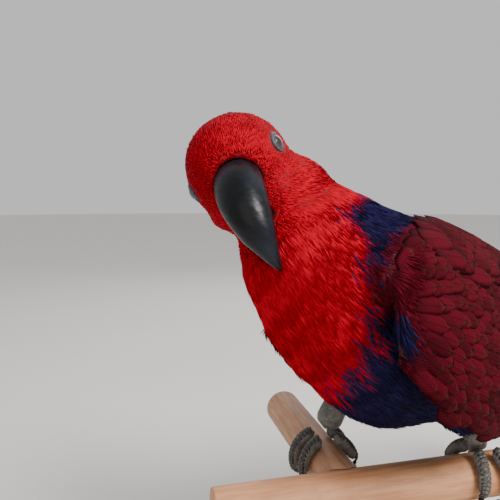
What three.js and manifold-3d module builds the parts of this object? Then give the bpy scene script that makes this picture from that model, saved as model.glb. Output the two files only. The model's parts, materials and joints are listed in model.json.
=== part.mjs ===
// A female eclectus parrot, life size, leaning forward from two crossed perches on a plain stand.
// Millimetres, +Z up. The bird's body points along -Y and its left side is +X.
// The origin is on the floor, under the point midway between its two feet.
import * as THREE from 'three';
import { mergeVertices } from 'three/addons/utils/BufferGeometryUtils.js';
import Module from 'manifold-3d';

const wasm = await Module();
wasm.setup();

// Driving sizes
const GAP = 0.3;
const PERCH_HEIGHT = 92;
const PERCH_RADIUS = 9.5;
const PERCH_TURN = THREE.MathUtils.degToRad(65.8);
const FRONT_PERCH = { from: -88, to: 66 };
const SIDE_PERCH_LENGTH = 92;
const STANCE = { left: 31, right: -14, crossing: -31 };
const BASE = { width: 170, depth: 190, thickness: 14, corner: 26, centreY: 6 };
const ROD = { radius: 5, places: [-66, 4] };
const EYE = { radius: 5.3, spread: 17.2, sunk: 1.2 };
const TAIL = { length: 118, baseWidth: 30, endWidth: 62, thickness: 6, feathers: 12 };
const TOE = { rootRadius: 3.1, tipRadius: 2.3, spread: 4.2 };
const CLAW = { length: 10, radius: 1.7 };

// Finishes
const finishes = {
  redFeather: { color: 0xc01826, roughness: 0.85 },
  blueFeather: { color: 0x2a2756, roughness: 0.85 },
  maroonFeather: { color: 0x6a1822, roughness: 0.8 },
  horn: { color: 0x17181c, roughness: 0.3 },
  eye: { color: 0x0c0908, roughness: 0.05 },
  scale: { color: 0x4a4641, roughness: 0.6 },
  wood: { color: 0xcf9a70, roughness: 0.7 },
  standWood: { color: 0x5b4231, roughness: 0.55 },
  metal: { color: 0xb8b9bb, roughness: 0.3, metalness: 1 },
};

const parrot = new THREE.Group();

function addPiece(name, geometry, finish) {
  const mesh = new THREE.Mesh(geometry, new THREE.MeshStandardMaterial({ metalness: 0, ...finishes[finish] }));
  mesh.name = name;
  parrot.add(mesh);
  return mesh;
}

// Joining and cutting
function weld(geometry) {
  geometry.deleteAttribute('normal');
  geometry.deleteAttribute('uv');
  return mergeVertices(geometry, 1e-4);
}

function solid(geometry) {
  const welded = weld(geometry);
  return new wasm.Manifold(new wasm.Mesh({
    numProp: 3,
    vertProperties: new Float32Array(welded.attributes.position.array),
    triVerts: new Uint32Array(welded.index.array),
  }));
}

// Drops the slivers that a cut leaves beside the main body
const mainBody = (manifold) => manifold.decompose().sort((one, other) => other.volume() - one.volume())[0];

function geometryOf(manifold) {
  const mesh = mainBody(manifold).getMesh();
  const geometry = new THREE.BufferGeometry();
  geometry.setAttribute('position', new THREE.BufferAttribute(mesh.vertProperties, 3));
  geometry.setIndex(new THREE.BufferAttribute(mesh.triVerts, 1));
  return geometry;
}

// A half-space as a large box whose one face passes through a point, facing back along a direction
function sideOf(point, direction, reach = 600) {
  const box = new THREE.BoxGeometry(reach, reach, reach);
  box.translate(0, 0, reach / 2);
  const turn = new THREE.Quaternion().setFromUnitVectors(new THREE.Vector3(0, 0, 1), direction.clone().normalize());
  box.applyQuaternion(turn);
  box.translate(point.x, point.y, point.z);
  return solid(box);
}

const vec = (x, y, z) => new THREE.Vector3(x, y, z);
const mix = THREE.MathUtils.lerp;
const perched = (x, y, z) => vec(x, y, z + PERCH_HEIGHT);

// A smooth reading of one size along a row of stations
function sizeAlong(stations, key) {
  const line = new THREE.CatmullRomCurve3(stations.map((one, k) => vec(k, one[key], 0)), false, 'centripetal');
  return (share) => line.getPoint(share).y;
}

// A loft along a spine of oval stations, with rounded ends, grown outwards where asked
function spineOf(stations) {
  const path = new THREE.CatmullRomCurve3(stations.map((one) => one.at), false, 'centripetal');
  const half = sizeAlong(stations, 'half');
  const above = sizeAlong(stations, 'above');
  const below = sizeAlong(stations, 'below');
  return (share) => {
    const centre = path.getPoint(share);
    const ahead = path.getTangent(share);
    const side = new THREE.Vector3().crossVectors(vec(0, 0, 1), ahead).normalize();
    const up = new THREE.Vector3().crossVectors(ahead, side).normalize();
    return { centre, ahead, side, up, half: half(share), above: above(share), below: below(share) };
  };
}

function roundedEnd(share, first, last) {
  const near = Math.min(1, share / first);
  const far = Math.min(1, (1 - share) / last);
  return Math.sqrt(1 - (1 - near) ** 2) * Math.sqrt(1 - (1 - far) ** 2);
}

function loft(stations, { around, along, first = 0.1, last = 0.1, grow = 0 }) {
  const spine = spineOf(stations);
  const form = new THREE.SphereGeometry(1, around, along);
  const place = form.attributes.position;
  for (let k = 0; k < place.count; k += 1) {
    const share = Math.acos(THREE.MathUtils.clamp(place.getY(k), -1, 1)) / Math.PI;
    const angle = Math.atan2(place.getZ(k), place.getX(k));
    const ring = Math.hypot(place.getZ(k), place.getX(k)) < 1e-9 ? 0 : 1;
    const at = spine(share);
    const end = ring * roundedEnd(share, first, last);
    const sideways = Math.cos(angle);
    const upward = Math.sin(angle);
    const tall = upward > 0 ? at.above : at.below;
    const point = at.centre.clone()
      .addScaledVector(at.side, sideways * end * (at.half + grow))
      .addScaledVector(at.up, upward * end * (tall + grow))
      .addScaledVector(at.ahead, grow * (share < 0.5 ? -1 : 1) * (1 - end));
    place.setXYZ(k, point.x, point.y, point.z);
  }
  return form;
}

const oval = (at, half, above, below = above) => ({ at, half, above, below });

// The trunk and neck, from the root of the tail to the back of the head
const bodyStations = [
  oval(perched(0, 100, 46), 13, 8),
  oval(perched(0, 78, 57), 25, 17, 18),
  oval(perched(0, 50, 67), 33, 26, 32),
  oval(perched(0, 20, 70), 38, 34, 44),
  oval(perched(1, -8, 75), 39, 37, 51),
  oval(perched(-2, -29, 84), 39, 37, 43),
  oval(perched(-13, -42, 98), 35, 32, 34),
  oval(perched(-26, -49, 113), 29, 27, 21),
  oval(perched(-31, -56, 126), 23, 23.5, 13),
  oval(perched(-36, -63, 139), 15, 13, 8),
];

const bodyForm = (grow) => solid(loft(bodyStations, { around: 26, along: 24, first: 0.1, last: 0.14, grow }));

// The head, turned to the bird's left and tilted over
const headAxes = {
  at: perched(-30, -69, 133),
  ahead: vec(0.729, -0.661, -0.18).normalize(),
  up: vec(-0.233, -0.486, 0.842).normalize(),
};
headAxes.left = new THREE.Vector3().crossVectors(headAxes.up, headAxes.ahead).normalize();

const inHead = (ahead, left, up) => headAxes.at.clone()
  .addScaledVector(headAxes.ahead, ahead)
  .addScaledVector(headAxes.left, left)
  .addScaledVector(headAxes.up, up);

// An ovoid with its own reach in each of six directions
function ovoid(centre, axes, reach, { around, along, grow = 0 }) {
  const form = new THREE.SphereGeometry(1, around, along);
  const place = form.attributes.position;
  for (let k = 0; k < place.count; k += 1) {
    const [a, b, c] = [place.getX(k), place.getZ(k), place.getY(k)];
    const point = centre.clone()
      .addScaledVector(axes.ahead, a * (grow + (a > 0 ? reach.front : reach.back)))
      .addScaledVector(axes.left, -b * (grow + reach.side))
      .addScaledVector(axes.up, c * (grow + (c > 0 ? reach.top : reach.bottom)));
    place.setXYZ(k, point.x, point.y, point.z);
  }
  return form;
}

const skull = solid(ovoid(inHead(-6, 0, 0), headAxes,
  { front: 24, back: 27, side: 21.5, top: 21.5, bottom: 23 }, { around: 20, along: 12 }));
const cheeks = solid(ovoid(inHead(-4, 0, -13), headAxes,
  { front: 13, back: 22, side: 21.5, top: 16, bottom: 12 }, { around: 14, along: 8 }));

// The bill: a deep hooked upper half and a short scoop under it
const billStations = (list) => list.map(([ahead, up, half, above, below]) => (
  oval(inHead(ahead, 0, up), half, above, below)));
const upperBill = billStations([
  [6, -4, 8.5, 9, 7], [16, -4, 9.5, 9.5, 9], [25, -8, 9.4, 8.8, 8], [32, -15, 7.8, 7, 6.2],
  [35.5, -24, 5.2, 4.8, 4.4], [36, -33, 1.8, 2, 1.8],
]);
const lowerBill = billStations([[4, -14, 8, 4, 6], [13, -19, 9, 4, 7], [20, -25, 8.6, 3.5, 6], [25.5, -29, 6.5, 2, 3]]);

function billForm(stations, grow) {
  const spine = spineOf(stations);
  const form = new THREE.SphereGeometry(1, 14, 12);
  const place = form.attributes.position;
  for (let k = 0; k < place.count; k += 1) {
    const share = Math.acos(THREE.MathUtils.clamp(place.getY(k), -1, 1)) / Math.PI;
    const angle = Math.atan2(place.getZ(k), place.getX(k));
    const ring = Math.hypot(place.getZ(k), place.getX(k)) < 1e-9 ? 0 : 1;
    const at = spine(share);
    const up = new THREE.Vector3().crossVectors(at.ahead, headAxes.left).normalize();
    const end = ring * roundedEnd(share, 0.12, 0.1);
    const tall = Math.sin(angle) > 0 ? at.above : at.below;
    const point = at.centre.clone()
      .addScaledVector(headAxes.left, Math.cos(angle) * end * (at.half + grow))
      .addScaledVector(up, Math.sin(angle) * end * (tall + grow));
    place.setXYZ(k, point.x, point.y, point.z);
  }
  return form;
}

const upperBillSolid = solid(billForm(upperBill, 0));
const lowerBillSolid = solid(billForm(lowerBill, 0)).subtract(solid(billForm(upperBill, GAP)));

// The eyes, deep in their sockets
const eyeCentre = (side) => inHead(3, side * EYE.spread, 1);
const eyeForm = (side, grow) => solid(ovoid(eyeCentre(side), headAxes, {
  front: EYE.radius, back: EYE.radius, side: EYE.radius - EYE.sunk, top: EYE.radius, bottom: EYE.radius,
}, { around: 12, along: 8, grow }));

// The whole bird is modelled first and then parted by thin cuts across the neck
const neckTop = { at: perched(-25, -49, 113), facing: vec(-0.4, -0.35, 0.85).normalize() };
const neckFoot = { at: perched(-10, -42, 97), facing: vec(-0.2, -0.6, 0.77).normalize() };
const beyond = (cut, sign) => sideOf(
  cut.at.clone().addScaledVector(cut.facing, (sign * GAP) / 2),
  cut.facing.clone().multiplyScalar(sign),
);

const flesh = [
  solid(billForm(upperBill, GAP)),
  solid(billForm(lowerBill, GAP)),
  eyeForm(1, GAP),
  eyeForm(-1, GAP),
].reduce((whole, hollow) => whole.subtract(hollow), bodyForm(0).add(skull).add(cheeks));
addPiece('head', geometryOf(flesh.intersect(beyond(neckTop, 1))), 'redFeather');
addPiece('neck', geometryOf(flesh.intersect(beyond(neckTop, -1)).intersect(beyond(neckFoot, 1))), 'redFeather');
addPiece('bill_upper', geometryOf(upperBillSolid), 'horn');
addPiece('bill_lower', geometryOf(lowerBillSolid), 'horn');
addPiece('eye_left', geometryOf(eyeForm(1, 0)), 'eye');
addPiece('eye_right', geometryOf(eyeForm(-1, 0)), 'eye');

let trunk = flesh.intersect(beyond(neckFoot, -1));
const grownBody = bodyForm(GAP);

// A thin shell made from a box: along it, across it, and through its thickness.
// It is counted across from the other edge where that keeps its faces pointing out.
function shell(alongSteps, acrossSteps, fromOtherEdge, pointAt) {
  const form = new THREE.BoxGeometry(1, 1, 1, alongSteps, acrossSteps, 1);
  const place = form.attributes.position;
  for (let k = 0; k < place.count; k += 1) {
    const across = 0.5 + (fromOtherEdge ? -1 : 1) * place.getY(k);
    const point = pointAt(place.getX(k) + 0.5, across, place.getZ(k) + 0.5);
    place.setXYZ(k, point.x, point.y, point.z);
  }
  return form;
}

// Rounded feather ends along an edge
const featherEnds = (share, count, depth) => depth * (1 - Math.abs(Math.sin(share * count * Math.PI)) ** 0.7);

// The folded wing hangs over the side of the body: its top edge, its lower edge and how far out it lies
const wingLine = (stations) => {
  const line = new THREE.CatmullRomCurve3(stations.map(([y, z, x]) => perched(x, y, z)), false, 'centripetal');
  return (share) => line.getPoint(share);
};
const wingTop = wingLine([[-51, 99, 31], [-38, 112, 24], [-14, 115, 16], [20, 108, 13], [60, 94, 11], [92, 79, 10]]);
const wingMiddle = wingLine([[-55, 87, 37], [-43, 85, 44], [-20, 79, 50], [16, 73, 48], [56, 65, 39], [94, 57, 25]]);
const wingFoot = wingLine([[-53, 67, 36], [-41, 53, 40], [-22, 39, 43], [12, 29, 42], [54, 33, 34], [94, 40, 23]]);

function wingPoint(along, across, depth, side, lift) {
  const curve = new THREE.QuadraticBezierCurve3(wingTop(along),
    wingMiddle(along).multiplyScalar(2).addScaledVector(wingTop(along), -0.5).addScaledVector(wingFoot(along), -0.5),
    wingFoot(along));
  const point = curve.getPoint(across);
  const inward = (1 - depth) * lift;
  point.x -= inward;
  return vec(side * point.x, point.y, point.z);
}

const wingThickness = (along, across) => (
  1.4 + 6.5 * Math.sin(Math.PI * mix(0.12, 0.96, across)) ** 0.6 * Math.sin(Math.PI * mix(0.1, 0.93, along)) ** 0.5);

function wing(side, grow) {
  return shell(14, 7, side > 0, (along, across, depth) => {
    const point = wingPoint(along, across, depth, side, wingThickness(along, across) + 2 * grow);
    point.x += side * grow;
    point.y += along ** 8 * (14 * Math.sin(Math.PI * across) - featherEnds(across, 4, 5) + grow);
    return point;
  });
}

// The long primary feathers carry on past the wing and come to a point above the tail
const tipTop = wingLine([[97, 79, 10], [120, 62, 9], [148, 42, 8], [166, 33, 8]]);
const tipFoot = wingLine([[92, 44, 22], [118, 39, 16], [148, 33, 11], [166, 30, 9]]);
function primaries(side) {
  return shell(8, 4, side > 0, (along, across, depth) => {
    const point = tipTop(along).lerp(tipFoot(along), across);
    const bulge = Math.sin(Math.PI * across) * mix(6, 1, along);
    const thick = mix(3.4, 1.2, along);
    return vec(side * (point.x + bulge + 1 - (1 - depth) * thick), point.y, point.z);
  });
}

for (const [name, side] of [['left', 1], ['right', -1]]) {
  trunk = trunk.subtract(solid(wing(side, GAP)).subtract(grownBody));
  addPiece(`wing_${name}`, geometryOf(solid(wing(side, 0)).subtract(grownBody)), 'maroonFeather');
  addPiece(`primaries_${name}`,
    geometryOf(solid(primaries(side)).subtract(solid(wing(side, GAP))).subtract(grownBody)), 'maroonFeather');
}

// The tail: a slightly arched fan of twelve broad feathers
const tailRoot = perched(0, 80, 53);
const tailSlope = THREE.MathUtils.degToRad(21);
const tail = shell(4, 24, true, (along, across, depth) => {
  const sideways = across - 0.5;
  const width = mix(TAIL.baseWidth, TAIL.endWidth, along ** 0.8);
  const reach = along * (TAIL.length - 16 * (2 * sideways) ** 2 - featherEnds(across, TAIL.feathers, 3) * along ** 6);
  const thick = mix(TAIL.thickness, 1.4, along ** 0.5) * mix(1, 0.6, Math.abs(2 * sideways));
  const arch = -7 * (2 * sideways) ** 2;
  return vec(
    sideways * width,
    tailRoot.y + reach * Math.cos(tailSlope),
    tailRoot.z - reach * Math.sin(tailSlope) + arch + (depth - 0.5) * thick,
  );
});
addPiece('tail', geometryOf(solid(tail).subtract(grownBody)), 'redFeather');

// The perches, crossing in a T, with the front one under the left foot and the side one under the right
const perchAlong = vec(Math.cos(PERCH_TURN), Math.sin(PERCH_TURN), 0);
const perchAway = vec(-Math.sin(PERCH_TURN), Math.cos(PERCH_TURN), 0);
const onPerch = (along, away, up) => perched(0, 0, up)
  .addScaledVector(perchAlong, along)
  .addScaledVector(perchAway, away);

function dowel(from, to, radius) {
  const rod = new THREE.CylinderGeometry(radius, radius, from.distanceTo(to), 28);
  const turn = new THREE.Quaternion().setFromUnitVectors(vec(0, 1, 0), to.clone().sub(from).normalize());
  rod.applyQuaternion(turn);
  const middle = from.clone().lerp(to, 0.5);
  rod.translate(middle.x, middle.y, middle.z);
  return rod;
}

const frontLine = (along) => onPerch(along, STANCE.right, 0);
const frontPerch = (grow) => solid(dowel(frontLine(FRONT_PERCH.from), frontLine(FRONT_PERCH.to), PERCH_RADIUS + grow));
const sideStart = frontLine(STANCE.crossing);
const sideEnd = sideStart.clone().addScaledVector(perchAway, SIDE_PERCH_LENGTH);
addPiece('perch_front', geometryOf(frontPerch(0)), 'wood');
addPiece('perch_side', geometryOf(solid(dowel(sideStart, sideEnd, PERCH_RADIUS)).subtract(frontPerch(GAP))), 'wood');

// The legs: a feathered thigh, a short scaly shank with its foot pad, and four toes with claws
const legs = {
  left: { at: onPerch(STANCE.left, STANCE.right, 0), toes: perchAway.clone().negate(), hip: perched(20, 8, 42) },
  right: { at: onPerch(STANCE.crossing, -STANCE.right, 0), toes: perchAlong.clone().negate(), hip: perched(-20, -8, 44) },
};

// A point on a toe: how far it has gone round the perch from the top, and how far off its surface it lies
function roundPerch(leg, across, angle, height) {
  const sideways = new THREE.Vector3().crossVectors(vec(0, 0, 1), leg.toes);
  const reach = PERCH_RADIUS + GAP + height;
  return leg.at.clone()
    .addScaledVector(sideways, across)
    .addScaledVector(leg.toes, Math.sin(angle) * reach)
    .add(vec(0, 0, Math.cos(angle) * reach));
}

function strand(pointAt, radiusAt, around, along) {
  const stations = [];
  for (let k = 0; k <= along; k += 1) {
    const share = k / along;
    stations.push(oval(pointAt(share), radiusAt(share), radiusAt(share)));
  }
  return stations;
}

const toeKinds = [
  { name: 'inner_front', forward: 1, across: 1, length: 22 },
  { name: 'outer_front', forward: 1, across: -1, length: 28 },
  { name: 'inner_back', forward: -1, across: 1, length: 17 },
  { name: 'outer_back', forward: -1, across: -1, length: 24 },
];

for (const [name, leg] of Object.entries(legs)) {
  const mirror = name === 'left' ? -1 : 1;
  let foot = solid(loft(
    strand((share) => leg.at.clone().lerp(leg.hip, share * 0.62).add(vec(0, 0, mix(15.4, 6, share))),
      (share) => mix(6.4, 5.4, share), 14, 3),
    { around: 14, along: 8, first: 0.3, last: 0.3 },
  ));
  const thighStations = [
    oval(leg.at.clone().lerp(leg.hip, 0.3).add(vec(0, 0, 11)), 7, 7),
    oval(leg.at.clone().lerp(leg.hip, 0.55).add(vec(0, 0, 7)), 14, 14),
    oval(leg.hip.clone().add(vec(0, 0, 5)), 19, 19),
    oval(leg.hip.clone().add(vec(0, 0, 18)), 18, 18),
  ];
  const thigh = (grow) => solid(loft(thighStations, { around: 16, along: 10, first: 0.35, last: 0.3, grow }));
  for (const kind of toeKinds) {
    const turn = (kind.length / (PERCH_RADIUS + TOE.rootRadius)) * kind.forward;
    const start = 0.2 * kind.forward;
    const acrossAt = (share) => kind.across * mirror * mix(TOE.spread, TOE.spread * 1.75, share);
    const thickAt = (share) => mix(TOE.rootRadius, TOE.tipRadius, share);
    const toe = (grow) => solid(loft(
      strand((share) => roundPerch(leg, acrossAt(share), mix(start, turn, share), thickAt(share)), thickAt, 8, 6),
      { around: 8, along: 8, first: 0.12, last: 0.12, grow },
    ));
    foot = foot.subtract(toe(GAP));
    const clawTurn = turn + kind.forward * (CLAW.length / (PERCH_RADIUS + 5));
    const claw = solid(loft(
      strand((share) => roundPerch(leg, acrossAt(1), mix(turn, clawTurn, share), mix(2.6, 1.4, share ** 1.6)),
        (share) => mix(CLAW.radius, 0.5, share), 6, 4),
      { around: 6, along: 6, first: 0.1, last: 0.1 },
    )).subtract(toe(GAP));
    addPiece(`toe_${kind.name}_${name}`, geometryOf(toe(0)), 'scale');
    addPiece(`claw_${kind.name}_${name}`, geometryOf(claw), 'horn');
  }
  foot = foot.subtract(thigh(GAP)).subtract(grownBody);
  addPiece(`foot_${name}`, geometryOf(foot), 'scale');
  addPiece(`thigh_${name}`, geometryOf(thigh(0).subtract(grownBody)), 'blueFeather');
}
addPiece('trunk', geometryOf(trunk), 'redFeather');

// The display stand: a flat wooden base and two short metal rods up to the front perch
const outline = new THREE.Shape();
const [halfWidth, halfDepth] = [BASE.width / 2 - BASE.corner, BASE.depth / 2 - BASE.corner];
outline.absarc(halfWidth, halfDepth, BASE.corner, 0, Math.PI / 2);
outline.absarc(-halfWidth, halfDepth, BASE.corner, Math.PI / 2, Math.PI);
outline.absarc(-halfWidth, -halfDepth, BASE.corner, Math.PI, Math.PI * 1.5);
outline.absarc(halfWidth, -halfDepth, BASE.corner, Math.PI * 1.5, Math.PI * 2);
const base = new THREE.ExtrudeGeometry(outline, { depth: BASE.thickness, bevelEnabled: false, curveSegments: 6 });
base.translate(0, BASE.centreY, 0);
addPiece('stand_base', base, 'standWood');

ROD.places.forEach((along, k) => {
  const top = frontLine(along);
  const foot = vec(top.x, top.y, BASE.thickness + GAP);
  addPiece(`stand_rod_${k + 1}`, geometryOf(solid(dowel(foot, top, ROD.radius)).subtract(frontPerch(GAP))), 'metal');
});

export default parrot;
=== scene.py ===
# A female eclectus parrot on crossed perches: skin, feathers, bill, eyes, feet, perches and stand
# Measures are millimetres, +Z up, with the bird facing -Y. Meshes are in metres.
import functools
import json
import math

import bpy
import numpy as np
from mathutils import Matrix, Vector
from mathutils.bvhtree import BVHTree

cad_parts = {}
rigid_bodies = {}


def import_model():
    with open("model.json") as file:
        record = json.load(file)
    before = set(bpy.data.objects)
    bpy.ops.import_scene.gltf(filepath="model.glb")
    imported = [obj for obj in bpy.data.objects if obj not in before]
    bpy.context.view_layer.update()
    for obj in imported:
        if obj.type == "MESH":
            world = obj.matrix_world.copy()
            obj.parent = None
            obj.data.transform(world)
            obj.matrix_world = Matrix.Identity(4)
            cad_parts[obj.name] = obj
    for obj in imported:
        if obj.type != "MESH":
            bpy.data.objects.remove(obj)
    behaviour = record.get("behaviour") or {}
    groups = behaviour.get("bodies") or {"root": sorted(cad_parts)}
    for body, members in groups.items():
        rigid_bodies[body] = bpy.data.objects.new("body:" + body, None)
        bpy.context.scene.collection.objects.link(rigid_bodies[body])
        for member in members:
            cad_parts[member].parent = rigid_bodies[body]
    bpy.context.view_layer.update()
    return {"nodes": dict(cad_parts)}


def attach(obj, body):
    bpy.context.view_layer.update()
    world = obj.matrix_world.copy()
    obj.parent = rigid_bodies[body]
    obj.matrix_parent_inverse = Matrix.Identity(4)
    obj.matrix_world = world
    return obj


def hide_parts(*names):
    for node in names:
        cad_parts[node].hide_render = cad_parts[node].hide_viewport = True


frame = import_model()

bl_info = {
    "name": "Eclectus Parrot",
    "version": (1, 0, 0),
    "blender": (4, 5, 0),
    "location": "3D View > Sidebar > Parrot",
    "description": "Skin, feathers, bill, eyes, feet, perches and stand of a perched eclectus parrot",
    "category": "Object",
}

MM = 0.001
PERCH_HEIGHT = 92.0
PERCH_RADIUS = 9.5
GAP = 0.3
FLESH = ("head", "neck", "trunk", "thigh_left", "thigh_right", "wing_left", "wing_right")
SIDES = ((1, "left"), (-1, "right"))

# The head's own directions, measured from the middle of the eyes
EYES_MIDDLE = np.array((-30.0, -69.0, 133.0 + PERCH_HEIGHT))
HEAD_AHEAD = np.array((0.729, -0.661, -0.18))
HEAD_UP = np.array((-0.233, -0.486, 0.842))
HEAD_LEFT = np.cross(HEAD_UP, HEAD_AHEAD)
EYE_PLACE = (3.0, 17.2, 1.0)
EYE_RADIUS = 4.1
HEAD_MIDDLE = (-6, 0, -2)

# The body's line from tail to head, above the perch's axis
BODY_LINE = (
    (0, 100, 46), (0, 78, 57), (0, 50, 67), (0, 20, 70), (1, -8, 75),
    (-2, -29, 84), (-13, -42, 98), (-26, -49, 113), (-31, -56, 126), (-36, -63, 139),
)
# The red hood's lower edge and the back's upper edge: degrees round from the spine, and mm along
RED_EDGE = ((0, 21, 47, 62, 78, 90, 104, 117, 131, 151, 180),
            (162, 160.5, 153.7, 148.3, 144, 139, 134.5, 132.5, 131.5, 131.2, 124))
BACK_EDGE = ((0, 17, 40, 90), (139, 140.5, 144.4, 143))
FLANK_ANGLE = 86.0
VENT_END = 26.0
HOOD_RADIUS = 32.0

# The folded wing's top, middle and foot lines, shoulder to wing tip: y, height above the perch, x
WING_TOP = ((-51, 99, 31), (-38, 112, 24), (-14, 115, 16), (20, 108, 13), (60, 94, 11),
            (97, 79, 10), (120, 62, 9), (148, 42, 8), (168, 33, 8))
WING_MIDDLE = ((-55, 87, 37), (-43, 85, 44), (-20, 79, 50), (16, 73, 48), (56, 65, 39),
               (94, 57, 25), (120, 50, 16.5), (148, 37.5, 11.5), (168, 31.5, 9))
WING_FOOT = ((-53, 67, 36), (-41, 53, 40), (-22, 39, 43), (12, 29, 42), (54, 33, 34),
             (94, 40, 23), (118, 39, 16), (148, 33, 11), (168, 30, 9))
WING_REACH = (-58, 171)
WING_FLANK = (-54, 168)
WING_FRONT = -53

# The perches' directions, and where each one starts and ends along its own
PERCH_ALONG = np.array((0.4099, 0.9121, 0.0))
PERCH_AWAY = np.array((-0.9121, 0.4099, 0.0))
PERCH_SIDE = -14.0
FRONT_PERCH = (-88.0, 66.0)
SIDE_PERCH = (-31.0, 92.0)

CAMERA_PLACE = (0.137, -0.1931, 0.2151)
CAMERA_AHEAD = (-0.7837, 0.6123, -0.1045)
CAMERA_RIGHT = (0.6157, 0.7880, 0.0)
CAMERA_LENS = 37.8


def unit(vectors):
    return vectors / np.maximum(np.linalg.norm(vectors, axis=-1, keepdims=True), 1e-9)


def distance(points, place):
    return np.linalg.norm(points - place, axis=-1)


def mix(one, other, share):
    return one + (other - one) * share


def ease(value):
    value = np.clip(value, 0, 1)
    return value * value * (3 - 2 * value)


def passing(value, softness):
    """0 to 1 as a value rises through zero, over the given range."""
    return ease(value / softness + 0.5)


def red_edge(angle):
    return np.interp(angle, *RED_EDGE)


def back_edge(angle):
    return np.interp(angle, *BACK_EDGE)


def in_head(ahead, left, up):
    return EYES_MIDDLE + ahead * HEAD_AHEAD + left * HEAD_LEFT + up * HEAD_UP


def through(knots, values, at):
    """Reads a smooth curve that passes through the values at the knots."""
    knots = np.asarray(knots, float)
    values = np.asarray(values, float)
    slopes = np.gradient(values, knots, axis=0)
    k = np.clip(np.searchsorted(knots, at) - 1, 0, len(knots) - 2)
    span = (knots[k + 1] - knots[k])[..., None]
    u = (at - knots[k])[..., None] / span
    start = (1 + 2 * u) * (1 - u) ** 2 * values[k] + u * (1 - u) ** 2 * span * slopes[k]
    return start + u * u * (3 - 2 * u) * values[k + 1] + u * u * (u - 1) * span * slopes[k + 1]


def ripple(points, size, seed):
    """A smooth wave of about -1 to 1 over space, with bumps of the given size."""
    draw = np.random.default_rng(seed)
    waves = unit(draw.normal(size=(7, 3))) * (2 * math.pi / size / draw.uniform(0.8, 1.8, (7, 1)))
    return np.sin(points @ waves.T + draw.uniform(0, 6.3, 7)).sum(-1) / 2.6


def body_line():
    stations = np.array(BODY_LINE, float) + (0, 0, PERCH_HEIGHT)
    knots = np.r_[0, np.cumsum(np.linalg.norm(np.diff(stations, axis=0), axis=1))]
    along = np.linspace(0, knots[-1], 260)
    centre = through(knots, stations, along)
    ahead = unit(np.gradient(centre, axis=0))
    side = unit(np.cross((0, 0, 1), ahead))
    return along, centre, ahead, side, np.cross(ahead, side)


LINE_ALONG, LINE_CENTRE, LINE_AHEAD, LINE_SIDE, LINE_UP = body_line()


def nearest_station(points):
    found = [((part[:, None] - LINE_CENTRE) ** 2).sum(-1).argmin(1) for part in np.array_split(points, 40)]
    return np.concatenate(found)


def body_place(points):
    """How far along the body each point is, and how far round from the spine in degrees."""
    k = nearest_station(points)
    off = points - LINE_CENTRE[k]
    angle = np.degrees(np.arctan2(np.abs((off * LINE_SIDE[k]).sum(-1)), (off * LINE_UP[k]).sum(-1)))
    return LINE_ALONG[k], angle


def from_head(points):
    return distance(points, in_head(*HEAD_MIDDLE))


def wing_line(line, y, ends):
    """Height above the perch, and x, along one of the wing's lines."""
    return through([place[0] for place in line], [place[1:] for place in line], np.clip(y, *ends))


def wing_points(y, share, side):
    """Points on the folded wing's outer face: share runs from its top edge to its foot."""
    top, middle, foot = (wing_line(line, y, WING_REACH) for line in (WING_TOP, WING_MIDDLE, WING_FOOT))
    share = share[..., None]
    control = 2 * middle - 0.5 * (top + foot)
    flat = (1 - share) ** 2 * top + 2 * share * (1 - share) * control + share * share * foot
    return np.stack((flat[..., 1] * side, y, flat[..., 0] + PERCH_HEIGHT), -1)


def wing_normals(y, share, side):
    down = wing_points(y, share + 0.03, side) - wing_points(y, share - 0.03, side)
    back = wing_points(y + 1.5, share, side) - wing_points(y - 1.5, share, side)
    return unit(np.cross(down, back)) * side


def wing_height(y):
    top, foot = (wing_line(line, y, WING_REACH)[..., 0] for line in (WING_TOP, WING_FOOT))
    return np.maximum(top - foot, 4)


def on_wing(points, margin=5.0):
    """True where a point belongs to a folded wing and not to the body beside it."""
    shares = np.linspace(-0.02, 1.02, 27)
    y = np.repeat(np.clip(points[:, 1:2], *WING_FLANK), len(shares), 1)
    face = wing_points(y, np.broadcast_to(shares, y.shape), 1)
    nearest = np.abs(face[..., 2] - points[:, 2:]).argmin(1)
    rows = np.arange(len(points))
    level = np.abs(face[rows, nearest, 2] - points[:, 2]) < 2.5
    out = np.abs(points[:, 0]) > face[rows, nearest, 0] - margin
    return level & out & (points[:, 1] > WING_FRONT)


def shoulder_blue(along, angle):
    """1 where the blue band of the mantle reaches over the wing's shoulder."""
    return passing(along - back_edge(angle), 3) * ease((FLANK_ANGLE + 2 - angle) / 5)


def markings(points, wobble=0.0, margin=5.0):
    """The share of blue, of maroon and of orange in the plumage at each point; the rest is red."""
    along, angle = body_place(points)
    along = along + wobble + 1.6 * ripple(points, 9, 3)
    hood = passing(along - red_edge(angle), 3)
    hood = np.maximum(hood, ease((HOOD_RADIUS - from_head(points)) / 4))
    upper = passing(FLANK_ANGLE - angle, 6)
    maroon = passing(back_edge(angle) - along, 4) * upper * (1 - hood)
    wing = on_wing(points, margin).astype(float) * (1 - shoulder_blue(along, angle))
    maroon = np.maximum(maroon, wing)
    hood = hood * (1 - wing)
    vent = passing(VENT_END - along, 6) * (1 - upper)
    blue = np.clip(1 - hood - maroon, 0, 1) * (1 - vent)
    return np.stack((blue, maroon, vent * 0.5, np.ones(len(points))), -1)


# Distances from the head between which the feathers' lie turns from off the bill to along the body
LIE_TURNS_FROM = 24
LIE_TURNS_OVER = 20


def feather_lie(points, normals):
    """The direction along the skin in which the feathers lie."""
    back = -LINE_AHEAD[nearest_station(points)] + (0, 0, -0.18)
    off_bill = unit(points - in_head(20, 0, -7))
    turned = ease((from_head(points) - LIE_TURNS_FROM) / LIE_TURNS_OVER)[:, None]
    lie = off_bill + (unit(back) - off_bill) * turned
    lie = lie + 0.07 * np.stack([ripple(points, 14, seed) for seed in (11, 12, 13)], -1)
    return unit(lie - normals * (lie * normals).sum(-1, keepdims=True))


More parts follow.
